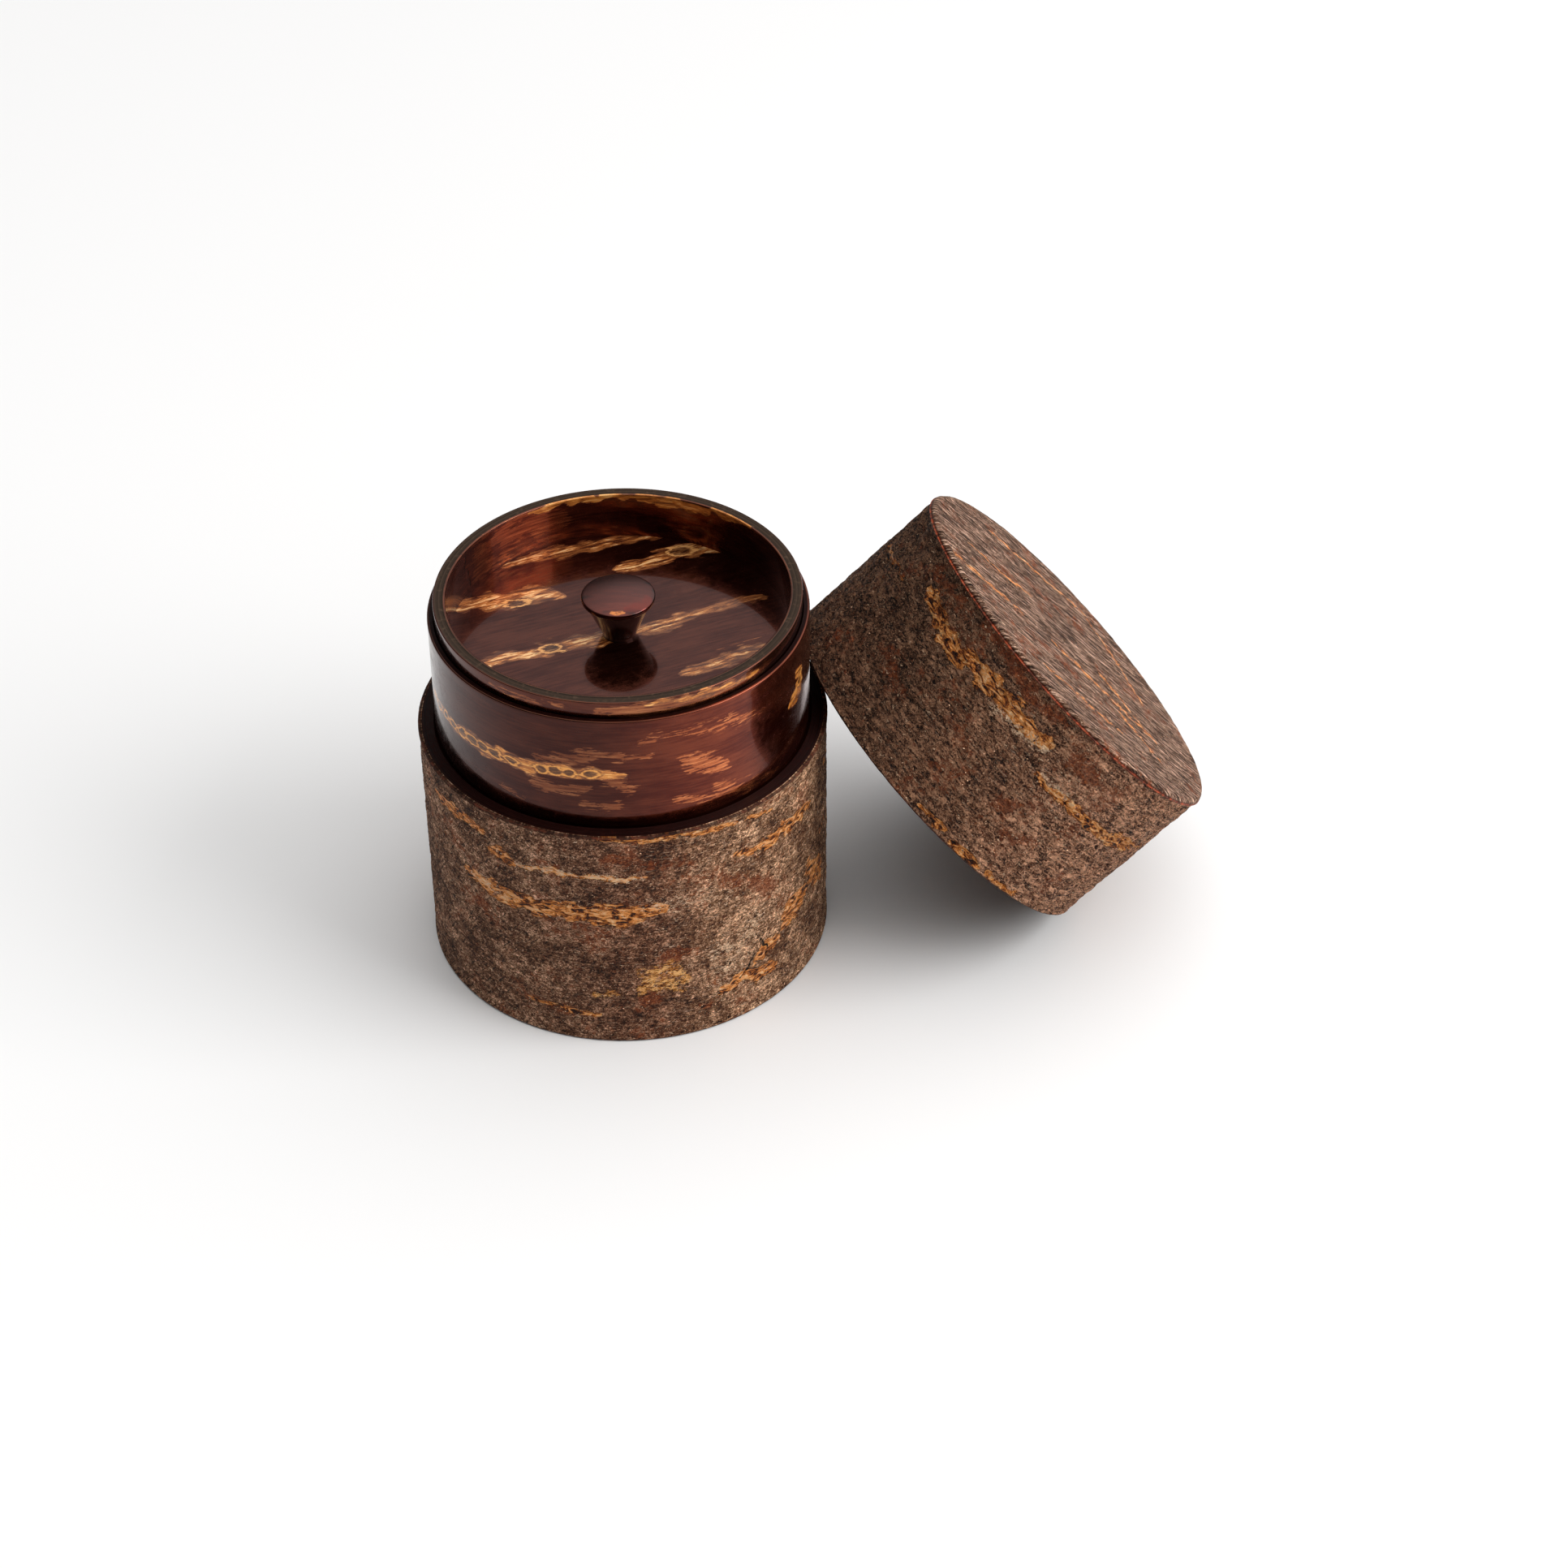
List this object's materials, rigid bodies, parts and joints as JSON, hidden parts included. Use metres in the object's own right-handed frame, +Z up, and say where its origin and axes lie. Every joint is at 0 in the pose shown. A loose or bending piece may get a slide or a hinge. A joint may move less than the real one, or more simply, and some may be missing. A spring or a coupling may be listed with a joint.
{
  "type": "tea caddy",
  "caption": "Squat round bark-covered tea caddy: canister with a polished neck, a recessed inner lid with a turned knob, and a deep outer cap leaning against it.",
  "frame": {"origin": "centre of the canister's flat underside", "axes": "+Z up along the canister's axis; +X to the side that the cap leans on; -Y towards the viewer, so the cap's axis points 13.2 degrees round from +X towards +Y"},
  "size_m": [0.1634, 0.1008, 0.0871],
  "materials": {
    "rough_bark": "rough grey-brown cherry bark, matt, with amber lenticel bands",
    "polished_bark": "polished lacquered cherry bark, glossy dark red-brown",
    "rim_veneer": "dark stained laminated veneer edge, semi-matt",
    "ring_veneer": "grey-brown laminated veneer edge, matt",
    "board_wood": "plain unfinished wood",
    "knob_lacquer": "turned and lacquered, high gloss"
  },
  "bodies": {
    "canister": {"body_bark": "rough_bark", "body_outer_ply": "rim_veneer", "body_inner_ply": "rim_veneer", "base_bark": "rough_bark", "base_board": "board_wood", "floor_lining": "polished_bark", "neck_bark": "polished_bark", "neck_core": "rim_veneer", "neck_liner": "rim_veneer"},
    "inner_lid": {"ring_outer_bark": "polished_bark", "ring_core": "ring_veneer", "ring_inner_bark": "polished_bark", "inner_lid_top_bark": "polished_bark", "inner_lid_board": "board_wood", "inner_lid_under_bark": "polished_bark", "knob": "knob_lacquer"},
    "cap": {"cap_bark": "rough_bark", "cap_top_bark": "rough_bark", "cap_outer_ply": "rim_veneer", "cap_inner_ply": "rim_veneer", "cap_lining": "polished_bark", "cap_board": "board_wood", "cap_ceiling_bark": "polished_bark"}
  },
  "joints": [
    {"name": "inner_lid_lift", "type": "slide", "parent": "canister", "child": "inner_lid", "axis": [0, 0, 1], "range_m": [0, 0.045]},
    {"name": "cap_draw", "type": "slide", "parent": "canister", "child": "cap", "axis": [0.7255, 0.1702, 0.6668], "range_m": [0, 0.04]}
  ]
}
